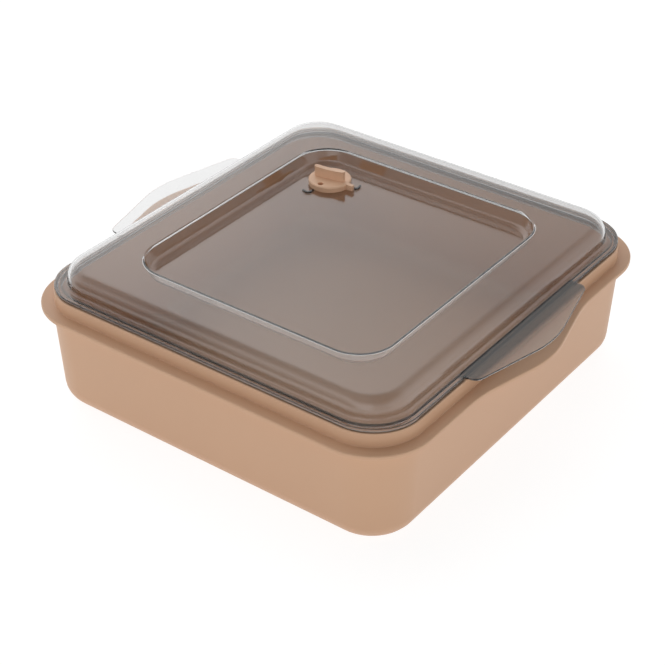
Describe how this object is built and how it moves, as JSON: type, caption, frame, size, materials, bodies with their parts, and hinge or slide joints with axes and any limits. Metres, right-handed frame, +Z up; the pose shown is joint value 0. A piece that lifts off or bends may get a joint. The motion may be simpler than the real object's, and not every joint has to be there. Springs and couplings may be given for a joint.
{
  "type": "reusable takeaway food box",
  "caption": "Square reusable food box: open flanged tub with grip tabs, clear lift-off lid with a sunken panel, and a turning vent dial.",
  "frame": {"origin": "middle of the bounding box, on the surface that the tub stands on", "axes": "+Z up; +X towards one grip tab, so the two tabs lie along X; +Y away from the viewer, with the vent dial at the -X +Y corner of the lid"},
  "size_m": [0.2274, 0.2202, 0.0717],
  "materials": {
    "tub": "satin, peach",
    "lid": "clear, with a faint smoke tint",
    "vent_dial": "satin, peach"
  },
  "bodies": {
    "tub": {"tub": "tub"},
    "lid": {"lid": "lid"},
    "vent_dial": {"vent_dial": "vent_dial"}
  },
  "joints": [
    {"name": "lid_lift", "type": "slide", "parent": "tub", "child": "lid", "axis": [0, 0, 1], "range_m": [0, 0.08]},
    {"name": "dial_turn", "type": "hinge", "parent": "lid", "child": "vent_dial", "pos_m": [-0.0454, 0.0514, 0.0633], "axis": [0, 0, 1], "range_deg": [-90, 0]}
  ]
}
